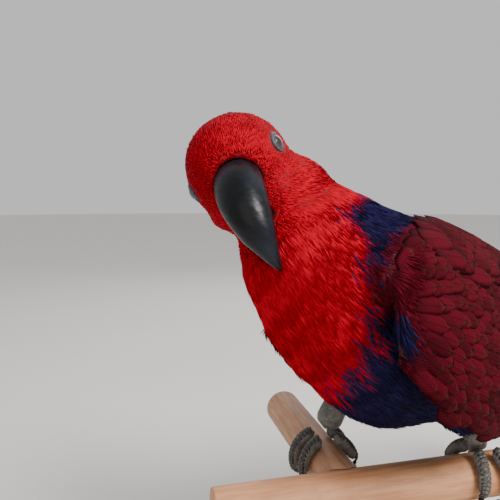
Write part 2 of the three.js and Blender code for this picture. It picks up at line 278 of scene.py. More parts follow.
# Blender helpers
CREASE_ANGLE = math.radians(40)
BEVEL_ANGLE = math.radians(60)


def clear_selection():
    for thing in bpy.data.objects:
        thing.select_set(False)


def activate(*things):
    clear_selection()
    for thing in things:
        thing.select_set(True)
    bpy.context.view_layer.objects.active = things[0]


def apply_modifier(thing, kind, **settings):
    modifier = thing.modifiers.new(kind.title(), kind)
    for key, value in settings.items():
        setattr(modifier, key, value)
    activate(thing)
    bpy.ops.object.modifier_apply(modifier=modifier.name)


def copy_of_nodes(name, nodes):
    """Joins copies of frame nodes, with their loose triangles merged, as one new piece."""
    copies = []
    for node in nodes:
        copy = bpy.data.objects.new(name, frame["nodes"][node].data.copy())
        copy.data.materials.clear()
        bpy.context.scene.collection.objects.link(copy)
        copies.append(copy)
    activate(*copies)
    if len(copies) > 1:
        bpy.ops.object.join()
    piece = copies[0]
    piece.name = name
    for layer in list(piece.data.uv_layers):
        piece.data.uv_layers.remove(layer)
    edit_all(piece, bpy.ops.mesh.remove_doubles, threshold=1e-6)
    return piece


def primitive(name):
    piece = bpy.context.object
    piece.name = name
    piece.data.name = name
    bpy.ops.object.transform_apply(location=True, rotation=True, scale=True)
    return piece


def smooth(piece):
    activate(piece)
    bpy.ops.object.shade_smooth()


def move_points(piece, places):
    """Sets a piece's vertices to places in mm."""
    piece.data.vertices.foreach_set("co", (places * MM).astype(np.float32).ravel())
    piece.data.update()


def bevel(piece, width):
    """Rounds the edges of a turned or sawn piece, and shades its faces smooth between them."""
    apply_modifier(piece, "BEVEL", width=width * MM, segments=3, limit_method="ANGLE",
                   angle_limit=BEVEL_ANGLE)
    activate(piece)
    bpy.ops.object.shade_smooth_by_angle(angle=CREASE_ANGLE)


def edit_all(piece, operator, **settings):
    """Runs one edit-mode operator on the whole of a piece."""
    activate(piece)
    bpy.ops.object.mode_set(mode="EDIT")
    bpy.ops.mesh.select_all(action="SELECT")
    operator(**settings)
    bpy.ops.object.mode_set(mode="OBJECT")


def finish_piece(piece, material, replaced=()):
    piece.data.materials.clear()
    piece.data.materials.append(material)
    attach(piece, "root")
    if replaced:
        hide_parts(*replaced)
    return piece


def points_of(mesh):
    flat = np.empty(len(mesh.vertices) * 3, np.float32)
    mesh.vertices.foreach_get("co", flat)
    return flat.reshape(-1, 3).astype(float) / MM


def normals_of(mesh):
    flat = np.empty(len(mesh.vertices) * 3, np.float32)
    mesh.vertex_normals.foreach_get("vector", flat)
    return flat.reshape(-1, 3).astype(float)


def set_attribute(mesh, name, values):
    layer = mesh.attributes.new(name, "FLOAT_COLOR", "POINT")
    layer.data.foreach_set("color", np.ascontiguousarray(values, np.float32).ravel())


def mesh_piece(name, points, triangles, quill, mark, patch):
    """A joined mesh of many small closed forms, with its markings and its bake map."""
    mesh = bpy.data.meshes.new(name)
    mesh.vertices.add(len(points))
    mesh.vertices.foreach_set("co", (points * MM).astype(np.float32).ravel())
    mesh.loops.add(triangles.size)
    mesh.loops.foreach_set("vertex_index", triangles.astype(np.int32).ravel())
    mesh.polygons.add(len(triangles))
    mesh.polygons.foreach_set("loop_start", np.arange(0, triangles.size, 3, dtype=np.int32))
    mesh.polygons.foreach_set("use_smooth", np.ones(len(triangles), bool))
    mesh.update(calc_edges=True)
    set_attribute(mesh, "quill", quill)
    set_attribute(mesh, "mark", mark)
    layer = mesh.uv_layers.new(name="OFBake")
    layer.uv.foreach_set("vector", patch[triangles.ravel()].astype(np.float32).ravel())
    piece = bpy.data.objects.new(name, mesh)
    bpy.context.scene.collection.objects.link(piece)
    return piece


# The skin as numbers, with its normals evened out so that feathers lie in smooth sheets
SMOOTHING_ROUNDS = 40


@functools.lru_cache(maxsize=1)
def skin_facts():
    """The skin's points, evened normals, triangles, places on its unwrap and search tree."""
    mesh = bpy.data.objects["skin"].data
    mesh.calc_loop_triangles()
    count = len(mesh.loop_triangles)
    corners = np.empty(count * 3, np.int32)
    mesh.loop_triangles.foreach_get("vertices", corners)
    loops = np.empty(count * 3, np.int32)
    mesh.loop_triangles.foreach_get("loops", loops)
    flat = np.empty(len(mesh.loops) * 2, np.float32)
    mesh.uv_layers["OFBake"].uv.foreach_get("vector", flat)
    points = points_of(mesh)
    triangles = corners.reshape(-1, 3)
    tree = BVHTree.FromPolygons([tuple(p) for p in points], triangles.tolist())
    ends = np.concatenate((triangles[:, (0, 1)], triangles[:, (1, 2)], triangles[:, (2, 0)]))
    normals = normals_of(mesh)
    for _ in range(SMOOTHING_ROUNDS):
        spread = [np.bincount(ends[:, 0], normals[ends[:, 1], axis], len(points)) for axis in range(3)]
        normals = unit(unit(np.stack(spread, -1)) + normals)
    return {
        "points": points, "normals": normals, "triangles": triangles,
        "maps": flat.reshape(-1, 2)[loops].reshape(-1, 3, 2), "tree": tree,
    }


def map_at(points):
    """The place of each point on the skin's unwrap."""
    skin = skin_facts()
    faces = [skin["tree"].find_nearest(Vector(point))[2] for point in points]
    return skin["maps"][faces].mean(1)


def skin_samples(count, weight, draw):
    """Draws places on the skin, more where the weight is greater.

    Gives points, normals, places on the unwrap, and the edges and turns of normal that tell how
    the skin curves.
    """
    skin = skin_facts()
    corners = skin["points"][skin["triangles"]]
    centres = corners.mean(1)
    area = np.linalg.norm(np.cross(corners[:, 1] - corners[:, 0], corners[:, 2] - corners[:, 0]), axis=-1)
    chance = np.cumsum(area * weight(centres))
    face = np.searchsorted(chance, draw.uniform(0, chance[-1], count))
    face = np.minimum(face, len(centres) - 1)
    u, v = draw.uniform(0, 1, (2, count))
    flip = u + v > 1
    u, v = np.where(flip, 1 - u, u), np.where(flip, 1 - v, v)
    shares = np.stack((1 - u - v, u, v), -1)[..., None]
    normals = skin["normals"][skin["triangles"][face]]
    points = (corners[face] * shares).sum(1)
    smooth = unit((normals * shares).sum(1))
    places = (skin["maps"][face] * shares).sum(1)
    turn = normals[:, 1] - normals[:, 0], normals[:, 2] - normals[:, 0]
    edge = corners[face, 1] - corners[face, 0], corners[face, 2] - corners[face, 0]
    return points, smooth, places, edge, turn


def bend_along(lie, edge, turn):
    """How sharply the skin curves away along a direction, in 1/mm."""
    one, other = edge
    a11, a12, a22 = (one * one).sum(-1), (one * other).sum(-1), (other * other).sum(-1)
    b1, b2 = (lie * one).sum(-1), (lie * other).sum(-1)
    det = np.maximum(a11 * a22 - a12 * a12, 1e-9)
    s = (b1 * a22 - b2 * a12) / det
    t = (b2 * a11 - b1 * a12) / det
    return (lie * (s[:, None] * turn[0] + t[:, None] * turn[1])).sum(-1)


# A tuft's seven corners are three at its root, three at its middle and its tip
TUFT_CORNERS = 7
TUFT_FACES = np.array((
    (0, 2, 1), (0, 1, 4), (0, 4, 3), (0, 3, 5), (0, 5, 2),
    (1, 2, 5), (1, 5, 4), (3, 4, 6), (3, 6, 5), (4, 5, 6),
))
# Half the size of one feather's patch on the bake map
PATCH = 0.0015
# How far a feather's marking wanders and how far below its root it is read, in mm and in lengths
MARK_WOBBLE = 1.5
MARK_SHIFT = 0.6
# The skin's usual curvature under tufts on the body and on the head, and its least, in 1/mm
BODY_BEND = 0.024
HEAD_BEND = 0.044
LEAST_BEND = 0.006
# A tuft's thickness per mm of width, and its root's depth in the skin: in mm, and per mm of length
TUFT_THICKNESS = 0.32
ROOT_DEPTH = 0.08
ROOT_SLANT = 0.025
# How much tufts differ from one another
LENGTH_SPREAD = (0.8, 1.2)
WIDTH_SPREAD = (0.75, 1.3)
LIFT_SPREAD = (0.75, 1.25)
LIE_SPREAD = 0.1
SWEEP_SPREAD = 0.05
# Units of the quill attribute along and across, per mm
QUILL_UNIT = 0.01


def sharpened(marks, start, spread):
    """Markings whose blue and maroon are nearly all or nothing, so that one feather has one colour."""
    marks[:, :2] = ease((marks[:, :2] - start) / spread)
    return marks


def tufts(name, count, weight, length_of, width_share, seed, lift, margin=5.0):
    """Sets thin closed locks along the skin: a root ring, a middle ring and a tip each."""
    draw = np.random.default_rng(seed)
    points, normals, places, edge, turn = skin_samples(count, weight, draw)
    lie = feather_lie(points, normals)
    lie = unit(lie + np.cross(normals, lie) * draw.normal(0, LIE_SPREAD, (count, 1)))
    usual = mix(BODY_BEND, HEAD_BEND, ease((38 - from_head(points)) / 12))
    bend = np.clip(bend_along(lie, edge, turn), LEAST_BEND, usual * 1.3)
    side = np.cross(normals, lie)
    length = length_of(points) * settings().tuft_length * draw.uniform(*LENGTH_SPREAD, count)
    width = length ** 0.7 * width_share * draw.uniform(*WIDTH_SPREAD, count)
    thick = width * TUFT_THICKNESS
    rise = lift * (1 + 0.12 * ripple(points, 7, seed)) * draw.uniform(*LIFT_SPREAD, count)
    # At sharp edges the evened normals would lead a tuft into the skin, so it is lifted clear
    outward = unit(np.cross(*edge))
    outward = outward * np.sign((outward * normals).sum(-1, keepdims=True))
    rise = rise + np.clip(-(lie * outward).sum(-1) - 0.1, 0, 0.6)
    sunk = ROOT_DEPTH + ROOT_SLANT * length
    sweep = draw.normal(0, SWEEP_SPREAD, count)
    rings = []
    for share in (0.0, 0.5, 1.0):
        reach = length * share
        height = rise * reach - sunk - bend * reach ** 2 / 2 - 0.1 * rise * reach * share
        middle = points + lie * reach[:, None] + normals * height[:, None]
        middle = middle + side * (sweep * length * share ** 2)[:, None]
        if share < 1:
            half = (width * mix(0.42, 0.5, share * 2))[:, None] * side
            rings += [middle - half, middle + half, middle + normals * thick[:, None]]
        else:
            rings.append(middle)
    verts = np.stack(rings, 1).reshape(-1, 3)
    faces = (TUFT_FACES + (np.arange(count) * TUFT_CORNERS)[:, None, None]).reshape(-1, 3)
    mark = markings(points, draw.normal(0, MARK_WOBBLE, count) - MARK_SHIFT * length, margin)
    mark = np.repeat(sharpened(mark, 0.3, 0.4), TUFT_CORNERS, 0)
    share = np.array((0, 0, 0, 0.5, 0.5, 0.5, 1.0))
    across = np.array((-1, 1, 0, -1, 1, 0, 0.0))
    quill = np.empty((count, TUFT_CORNERS, 4))
    quill[..., 0] = length[:, None] * share * QUILL_UNIT
    quill[..., 1] = width[:, None] * across * QUILL_UNIT / 2
    quill[..., 2] = draw.uniform(0, 1, (count, 1))
    quill[..., 3] = share
    patch = places[:, None] + np.stack((across, share * 2 - 1), -1) * PATCH
    return mesh_piece(name, verts, faces, quill.reshape(-1, 4), mark, patch.reshape(-1, 2))


def vane_width(share, blunt):
    """A vane's width from root to tip, as a share of its widest."""
    root = np.sqrt(1 - (1 - np.minimum(share / 0.22, 1)) ** 2)
    tip = np.sqrt(np.clip(1 - (np.maximum(share - 1 + blunt, 0) / blunt) ** 2, 0, 1))
    return np.maximum(root * tip, 0.1)


def lens_faces(rows, columns):
    """Faces of a grid, and of an underside that shares its rim."""
    size = rows * columns
    upper = np.arange(size).reshape(rows, columns)
    lower = upper.copy()
    lower[1:-1, 1:-1] = size + np.arange((rows - 2) * (columns - 2)).reshape(rows - 2, columns - 2)

    def split(grid):
        a, b, c, d = grid[:-1, :-1], grid[:-1, 1:], grid[1:, 1:], grid[1:, :-1]
        return np.stack((a, b, c, a, c, d), -1).reshape(-1, 3)

    return np.concatenate((split(upper), split(lower)[:, ::-1]))


def both_sides(top, under):
    """The values of a feather's whole top and of the inner part of its underside."""
    count, width = len(top), top.shape[-1]
    inner = under[:, 1:-1, 1:-1].reshape(count, -1, width)
    return np.concatenate((top.reshape(count, -1, width), inner), 1)


# Where a vane's tip starts to fray, and how far its barbs wander there
FRAY_START = 0.6
FRAY_ALONG = 2.5
FRAY_ACROSS = 0.12


def vanes(name, place, length, width, rise, marks, seed, rows=7, columns=5, blunt=0.45, thick=0.22,
          camber=0.5, ragged=0.5, maps=None):
    """Lays closed lens-shaped feathers by a function from mm along and across to points and normals."""
    draw = np.random.default_rng(seed)
    count = len(length)
    share = np.linspace(0, 1, rows)
    across = np.linspace(-1, 1, columns)
    along = np.broadcast_to(length[:, None, None] * share[:, None], (count, rows, columns)).copy()
    half = 0.5 * width[:, None, None] * vane_width(share, blunt)[:, None]
    wide = half * across
    fringe = draw.uniform(-ragged, ragged, (count, 1, columns)) * (share[:, None] > FRAY_START)
    along = along + fringe * (share[:, None] - FRAY_START) * FRAY_ALONG
    wide = wide + draw.uniform(-FRAY_ACROSS, FRAY_ACROSS, (count, rows, 1)) * ragged * share[:, None]
    points, normals = place(along, wide)
    low, high = rise
    height = mix(low[:, None, None], high[:, None, None], share[:, None] ** 1.3)
    height = height - camber * across ** 2 * np.minimum(width, 16)[:, None, None] / 12
    middle = points + normals * height[..., None]
    body = thick * (1 - across ** 2) ** 0.5 * np.minimum(np.minimum(share, 1 - share) * 5, 1)[:, None]
    verts = both_sides(middle + normals * body[..., None], middle - normals * body[..., None])
    each = verts.shape[1]
    faces = (lens_faces(rows, columns) + (np.arange(count) * each)[:, None, None]).reshape(-1, 3)
    quill = np.empty((count, rows, columns, 4))
    quill[..., 0] = along * QUILL_UNIT
    quill[..., 1] = wide * QUILL_UNIT
    quill[..., 2] = draw.uniform(0, 1, (count, 1, 1))
    quill[..., 3] = share[:, None]
    if maps is None:
        maps = map_at(points[:, 0, columns // 2])
    corner = np.stack(np.broadcast_arrays(across, share[:, None] * 2 - 1), -1)
    patch = maps[:, None, None] + corner * PATCH
    return mesh_piece(name, verts.reshape(-1, 3), faces, both_sides(quill, quill).reshape(-1, 4),
                      np.repeat(marks, each, 0), both_sides(patch, patch).reshape(-1, 2))


def on_skin(roots, normals, lie):
    """A place function that drapes a vane over the skin from its root."""
    side = np.cross(lie, normals)
    skin = skin_facts()

    def place(along, wide):
        flat = lie[:, None, None] * along[..., None] + side[:, None, None] * wide[..., None]
        flat = roots[:, None, None] + flat
        found = [skin["tree"].find_nearest(Vector(point)) for point in flat.reshape(-1, 3)]
        points = np.array([hit[0] for hit in found]).reshape(flat.shape)
        faces = np.array([hit[2] for hit in found])
        evened = unit(skin["normals"][skin["triangles"][faces]].mean(1)).reshape(flat.shape)
        return points, unit(evened + normals[:, None, None])

    return place


def on_wing_face(y, share, slope, side):
    """A place function that lays a vane on the folded wing, sloping down towards its tip."""
    def place(along, wide):
        cos, sin = np.cos(slope)[:, None, None], np.sin(slope)[:, None, None]
        back = y[:, None, None] + along * cos - wide * sin
        down = along * sin + wide * cos
        shares = share[:, None, None] + down / wing_height(back)
        return wing_points(back, shares, side), wing_normals(back, shares, side)

    return place


def hex_rows(y_from, y_to, step, share_from, share_to, gap, draw):
    """Places of overlapping feathers on the wing, in staggered columns from shoulder to tip."""
    ys, shares = [], []
    for k, y in enumerate(np.arange(y_from, y_to, step)):
        height = float(wing_height(np.array(y)))
        row = np.arange(share_from + (k % 2) * 0.5 * gap / height, share_to, gap / height)
        ys.append(np.full(len(row), y))
        shares.append(row)
    ys, shares = np.concatenate(ys), np.concatenate(shares)
    ys = ys + draw.uniform(-0.25, 0.25, len(ys)) * step
    return ys, shares + draw.uniform(-0.15, 0.15, len(ys)) * gap / 60


# Shader maths: one wrapped socket, which arithmetic extends with Math nodes
class Field:
    """A number or colour that changes over a surface."""

    def __init__(self, finish, socket):
        self.finish = finish
        self.socket = socket

    def maths(self, kind, *values):
        inputs = dict(enumerate(values))
        return self.finish.node("ShaderNodeMath", {"operation": kind}, inputs)

    def __add__(self, other):
        return self.maths("ADD", self, other)

    def __radd__(self, other):
        return self.maths("ADD", other, self)

    def __sub__(self, other):
        return self.maths("SUBTRACT", self, other)

    def __rsub__(self, other):
        return self.maths("SUBTRACT", other, self)

    def __mul__(self, other):
        return self.maths("MULTIPLY", self, other)

    def __rmul__(self, other):
        return self.maths("MULTIPLY", other, self)

    def sine(self):
        return self.maths("SINE", self)

    def size(self):
        return self.maths("ABSOLUTE", self)


NOISE_ROUGHNESS = 0.55
BLACK = (0, 0, 0)


class Finish:
    """A material with one Principled surface."""

    def __init__(self, name, **constants):
        self.material = bpy.data.materials.new(name)
        self.material.use_nodes = True
        self.tree = self.material.node_tree
        self.surface = self.tree.nodes["Principled BSDF"]
        for socket, value in constants.items():
            self.surface.inputs[socket.replace("_", " ")].default_value = value

    def node(self, kind, settings=None, inputs=None, output=0):
        node = self.tree.nodes.new(kind)
        for key, value in (settings or {}).items():
            setattr(node, key, value)
        for key, value in (inputs or {}).items():
            if isinstance(value, Field):
                self.tree.links.new(value.socket, node.inputs[key])
            else:
                node.inputs[key].default_value = value
        return Field(self, node.outputs[output])

    def place(self):
        return self.node("ShaderNodeTexCoord", output="Object")

    def mapped(self, scale=(1, 1, 1), turn=(0, 0, 0)):
        return self.node("ShaderNodeMapping", None,
                         {"Vector": self.place(), "Scale": scale, "Rotation": turn})

    def attribute(self, name, output="Color"):
        return self.node("ShaderNodeAttribute", {"attribute_name": name}, output=output)

    def parts(self, vector, kind="ShaderNodeSeparateColor"):
        first = self.node(kind, None, {0: vector})
        return [Field(self, output) for output in first.socket.node.outputs]

    def noise(self, scale, detail, vector=None):
        return self.node("ShaderNodeTexNoise", None, {
            "Vector": vector or self.place(), "Scale": scale, "Detail": detail,
            "Roughness": NOISE_ROUGHNESS})

    def step(self, value, low, high, start=0.0, end=1.0):
        return self.node("ShaderNodeMapRange", {"interpolation_type": "SMOOTHSTEP"}, {
            "Value": value, "From Min": low, "From Max": high, "To Min": start, "To Max": end})

    def blend(self, one, other, share):
        return self.node("ShaderNodeMix", {"data_type": "RGBA"}, {0: share, 6: one, 7: other}, output=2)

    def bump(self, height, strength, distance):
        return self.node("ShaderNodeBump", None,
                         {"Height": height, "Strength": strength, "Distance": distance}, output="Normal")

    def tint(self, colour, paint, pattern, low, high, share=1.0):
        """Lays a paint over a colour where a pattern rises from low to high."""
        return self.blend(colour, rgba(paint), self.step(pattern, low, high) * share)

    def barbed(self, colour, along, across, spacing, rough, edges, share):
        """Darkens a vane between its slanting barbs, and gives the barbs' height too."""
        slant = along + across.size() * 0.9
        web = (slant * (2 * math.pi / (spacing * QUILL_UNIT))).sine() * 0.5 + rough
        return self.tint(colour, BLACK, web, *edges, share), web

    def wear(self, **fields):
        for socket, field in fields.items():
            self.tree.links.new(field.socket, self.surface.inputs[socket.replace("_", " ")])
        return self.material


def settings():
    return bpy.context.scene.parrot


def rgba(colour, share=1.0):
    return tuple(channel * share for channel in colour[:3]) + (1.0,)


def plumage(name, barbs):
    """Feathers of every marking, with painted shade darkening them at the root: fine tufts, or vanes with
    barbs and a shaft.
    """
    look = settings()
    finish = Finish(name, Roughness=0.8, Specular_IOR_Level=0.05)
    blue, maroon, orange = finish.parts(finish.attribute("mark"))[:3]
    along, across, seed = finish.parts(finish.attribute("quill"))[:3]
    share = finish.attribute("quill", "Alpha")
    patchy = finish.noise(140, 3)
    fine = finish.noise(900, 2)

    def varied(paint, dark, pale, spread, low, high):
        return finish.tint(rgba(paint, dark), rgba(paint, pale), patchy + seed * spread, low, high)

    colour = varied(look.red, 0.55, 1.0, 0.5, 0.3, 0.95)
    colour = finish.blend(colour, varied(look.blue, 0.6, 1.5, 0.6, 0.4, 1.0), blue)
    colour = finish.blend(colour, varied(look.maroon, 0.65, 1.35, 0.7, 0.35, 1.1), maroon)
    colour = finish.blend(colour, rgba(look.orange), orange * finish.step(share, 0.1, 0.8))
    if barbs:
        rim = finish.step(share + fine * 0.12, 0.86, 1.04) * maroon
        colour = finish.blend(colour, rgba(look.fringe), rim * 0.55)
        shaft = 1 - finish.step(across.size(), 0.0008, 0.0032)
        colour = finish.blend(colour, rgba((0.012, 0.002, 0.004)), shaft * 0.35)
        colour, web = finish.barbed(colour, along, across, 0.9, fine * 0.8, (0.9, -0.3), 0.28)
        normal = finish.bump(web + shaft * 1.5, 0.45, 0.0004)
        clear_of_painted_shade = finish.step(share, 0.0, 0.5, 0.6, 1.0)
    else:
        normal = finish.bump(fine, 0.3, 0.0003)
        clear_of_painted_shade = finish.step(share, 0.0, 0.75, 0.65, 1.0)
    # Painted shade: each feather darkens towards near-black at its root, where it lies under the feathers
    # above it
    colour = finish.blend(rgba((0.006, 0.002, 0.003)), colour, clear_of_painted_shade)
    rough = finish.step(patchy + fine, 0.6, 1.4, 0.65, 0.9)
    return finish.wear(Base_Color=colour, Roughness=rough, Normal=normal)


def tail_material():
    look = settings()
    finish = Finish("tail_feather", Roughness=0.6, Sheen_Weight=0.15)
    along, across, seed = finish.parts(finish.attribute("quill"))[:3]
    share = finish.attribute("quill", "Alpha")
    fine = finish.noise(700, 3)
    colour = finish.tint(rgba(look.maroon, 0.9), rgba(look.red, 0.4), seed + share * 0.5, 0.3, 1.2)
    colour = finish.tint(colour, look.orange, share + fine * 0.06, 0.74, 0.92)
    shaft = 1 - finish.step(across.size(), 0.002, 0.006)
    colour = finish.blend(colour, rgba((0.02, 0.008, 0.006)), shaft * 0.6)
    colour, web = finish.barbed(colour, along, across, 1.1, fine, (1.0, -0.2), 0.3)
    return finish.wear(Base_Color=colour, Normal=finish.bump(web + shaft * 1.5, 0.4, 0.0004))


def skin_material():
    look = settings()
    finish = Finish("skin_down", Roughness=0.85)
    marks = finish.parts(finish.attribute("mark"))
    patchy = finish.noise(500, 4)
    colour = finish.blend(rgba(look.red, 0.22), rgba(look.red, 0.5), patchy)
    for mark, paint, share in zip(marks, (look.blue, look.maroon, look.orange), (0.6, 0.5, 0.5)):
        colour = finish.blend(colour, rgba(paint, share), mark)
    return finish.wear(Base_Color=colour, Normal=finish.bump(patchy, 0.5, 0.0006))


def horn_material():
    finish = Finish("black_horn", Roughness=0.3, Specular_IOR_Level=0.18, Coat_Weight=0.06,
                    Coat_Roughness=0.2)
    growth = finish.noise(260, 4, finish.mapped((1, 1, 5), (0.3, 0.5, 0.2)))
    cloud = finish.noise(70, 3)
    colour = finish.tint(rgba((0.002, 0.0022, 0.003)), (0.009, 0.012, 0.02), cloud, 0.35, 0.75)
    colour = finish.tint(colour, (0.04, 0.042, 0.05), growth, 0.62, 0.8, 0.3)
    rough = finish.step(growth + cloud * 0.5, 0.5, 1.1, 0.3, 0.5)
    return finish.wear(Base_Color=colour, Roughness=rough, Normal=finish.bump(growth, 0.12, 0.0004))


def eye_material():
    """Black pupil, dark brown iris and darker rim, by the distance from the eye's axis."""
    finish = Finish("eye", Roughness=0.04, Coat_Weight=0.6, Coat_Roughness=0.02)
    ring = finish.parts(finish.attribute("quill"))[0]
    iris = finish.blend(rgba((0.012, 0.007, 0.004)), rgba((0.035, 0.02, 0.01)), finish.noise(1500, 3))
    colour = finish.blend(rgba((0.003, 0.003, 0.004)), iris, finish.step(ring, 0.36, 0.42))
    return finish.wear(Base_Color=finish.tint(colour, (0.01, 0.008, 0.007), ring, 0.62, 0.74))


def lid_material():
    finish = Finish("bare_lid", Roughness=0.5)
    fold = finish.noise(1400, 3)
    colour = finish.tint(rgba((0.014, 0.015, 0.022)), (0.085, 0.09, 0.12), fold, 0.3, 0.75)
    return finish.wear(Base_Color=colour, Normal=finish.bump(fold, 0.6, 0.0003))


def scale_material():
    finish = Finish("scaled_foot", Roughness=0.55)
    cells = finish.node("ShaderNodeTexVoronoi", {"feature": "DISTANCE_TO_EDGE"},
                        {"Vector": finish.place(), "Scale": 620.0})
    cloud = finish.noise(300, 3)
    share = finish.attribute("quill", "Alpha")
    colour = finish.tint(rgba((0.02, 0.018, 0.016)), (0.1, 0.09, 0.078), cells, 0.0, 0.25)
    colour = finish.tint(colour, (0.2, 0.185, 0.165), share, 0.7, 1.0, 0.6)
    colour = finish.tint(colour, (0.045, 0.04, 0.036), cloud, 0.45, 0.7, 0.6)
    normal = finish.bump(finish.step(cells, 0.0, 0.2), 0.5, 0.0004)
    return finish.wear(Base_Color=colour, Normal=normal)


def wood_material(name, turn, pale, dark, grain):
    """Timber whose grain runs along the piece's own Y once the pattern is turned about Z."""
    finish = Finish(name, Roughness=0.6)
    x, y, z = finish.parts(finish.mapped((1, 1, 1), (0, 0, turn)), "ShaderNodeSeparateXYZ")
    stretched = finish.node("ShaderNodeCombineXYZ", None, {0: x * 9, 1: y * 0.7, 2: z * 9})
    figure = finish.noise(grain, 5, stretched)
    fine = finish.noise(grain * 5, 3, stretched)
    cloud = finish.noise(35, 2)
    colour = finish.tint(rgba(pale), dark, figure + cloud * 0.5, 0.45, 1.0)
    colour = finish.tint(colour, rgba(dark, 0.55), fine, 0.62, 0.72, 0.4)
    rough = finish.step(fine, 0.3, 0.7, 0.5, 0.72)
    normal = finish.bump(figure + fine * 0.5, 0.25, 0.0004)
    return finish.wear(Base_Color=colour, Roughness=rough, Normal=normal)


def metal_material():
    finish = Finish("brushed_metal", Metallic=1.0, Roughness=0.3)
    brushed = finish.noise(900, 3, finish.mapped((1, 1, 0.04)))
    colour = finish.blend(rgba((0.5, 0.5, 0.51)), rgba((0.68, 0.68, 0.69)), brushed)
    return finish.wear(Base_Color=colour, Roughness=finish.step(brushed, 0.3, 0.7, 0.24, 0.4))


def floor_material():
    finish = Finish("pale_floor", Roughness=0.85)
    colour = finish.blend(rgba((0.74, 0.72, 0.7)), rgba((0.78, 0.765, 0.745)), finish.noise(6, 3))
    return finish.wear(Base_Color=colour)


# Each finish, with what it needs to be made
PERCH_TURN = 0.4224
MATERIALS = {
    "tuft": (plumage, "feather_tufts", False),
    "vane": (plumage, "feather_vanes", True),
    "tail": (tail_material,),
    "skin": (skin_material,),
    "horn": (horn_material,),
    "eye": (eye_material,),
    "lid": (lid_material,),
    "scale": (scale_material,),
    "front_wood": (wood_material, "perch_wood", PERCH_TURN, (0.62, 0.31, 0.15), (0.4, 0.17, 0.08), 55),
    "side_wood": (wood_material, "perch_wood_side", PERCH_TURN - math.pi / 2, (0.56, 0.3, 0.17),
                  (0.36, 0.17, 0.09), 55),
    "stand_wood": (wood_material, "stand_wood", 0.0, (0.1, 0.05, 0.028), (0.04, 0.018, 0.01), 22),
    "metal": (metal_material,),
    "floor": (floor_material,),
}


@functools.lru_cache(maxsize=None)
def material(name):
    make, *needs = MATERIALS[name]
    return make(*needs)


class ParrotSettings(bpy.types.PropertyGroup):
    """Sizes and colours that a user may change before the pieces are made."""
    coat_depth: bpy.props.FloatProperty(
        name="Coat depth", description="How far the skin lies inside the plumage", default=1.1 * MM,
        min=0.0, subtype="DISTANCE", unit="LENGTH")
    face_depth: bpy.props.FloatProperty(
        name="Face coat depth", description="The same on the head, where feathers are short",
        default=0.1 * MM, min=0.0, subtype="DISTANCE", unit="LENGTH")
    tuft_length: bpy.props.FloatProperty(
        name="Tuft length", description="Scale of the small feathers' length", default=1.0, min=0.3, max=2.0,
        subtype="FACTOR")
    head_tufts: bpy.props.IntProperty(
        name="Head tufts", description="Number of small feathers on the head", default=19000, max=19900)
    body_tufts: bpy.props.IntProperty(
        name="Body tufts", description="Number of small feathers in each body piece", default=19500,
        max=19900)
    red: bpy.props.FloatVectorProperty(
        name="Hood red", description="Head and breast", default=(0.46, 0.0, 0.013), size=3, subtype="COLOR")
    blue: bpy.props.FloatVectorProperty(
        name="Belly blue", description="Mantle band and belly", default=(0.009, 0.007, 0.036), size=3,
        subtype="COLOR")
    maroon: bpy.props.FloatVectorProperty(
        name="Wing maroon", description="Wings and back", default=(0.064, 0.002, 0.007), size=3,
        subtype="COLOR")
    orange: bpy.props.FloatVectorProperty(
        name="Tail tip orange", description="Tail tip and vent", default=(0.6, 0.17, 0.04), size=3,
        subtype="COLOR")
    fringe: bpy.props.FloatVectorProperty(
        name="Covert fringe", description="Worn brown edges of the wing coverts",
        default=(0.06, 0.022, 0.01), size=3, subtype="COLOR")


class PARROT_OT_camera(bpy.types.Operator):
    """Place the camera at the photograph's viewpoint"""
    bl_idname = "parrot.camera"
    bl_label = "Camera"

    def execute(self, context):
        ahead, right = Vector(CAMERA_AHEAD).normalized(), Vector(CAMERA_RIGHT).normalized()
        up = right.cross(ahead)
        turn = Matrix((right, up, -ahead)).transposed().to_4x4()
        bpy.ops.object.camera_add()
        camera = context.object
        camera.name = "camera"
        camera.matrix_world = Matrix.Translation(CAMERA_PLACE) @ turn
        camera.data.lens = CAMERA_LENS
        camera.data.sensor_width = 36.0
        camera.data.clip_start = 0.01
        context.scene.camera = camera
        return {"FINISHED"}


def bill_distance(points):
    """How far each point of the head is from the bill, in mm; points elsewhere count as far."""
    away = np.full(len(points), 50.0)
    trees = []
    for node in ("bill_upper", "bill_lower"):
        mesh = frame["nodes"][node].data
        corners = [tuple(polygon.vertices) for polygon in mesh.polygons]
        trees.append(BVHTree.FromPolygons([tuple(point) for point in points_of(mesh)], corners))
    for k in np.nonzero(from_head(points) < 40)[0]:
        away[k] = min(tree.find_nearest(Vector(points[k]))[3] for tree in trees)
    return away


# How far the flesh swells before it is merged, the size of its voxels, how near to the bill it keeps
# its shape, and how many rounds of smoothing it gets elsewhere
SKIN_SWELL = 0.35
SKIN_VOXEL = 1.3
BILL_CLEARANCE = 4
SKIN_SMOOTHING = 26


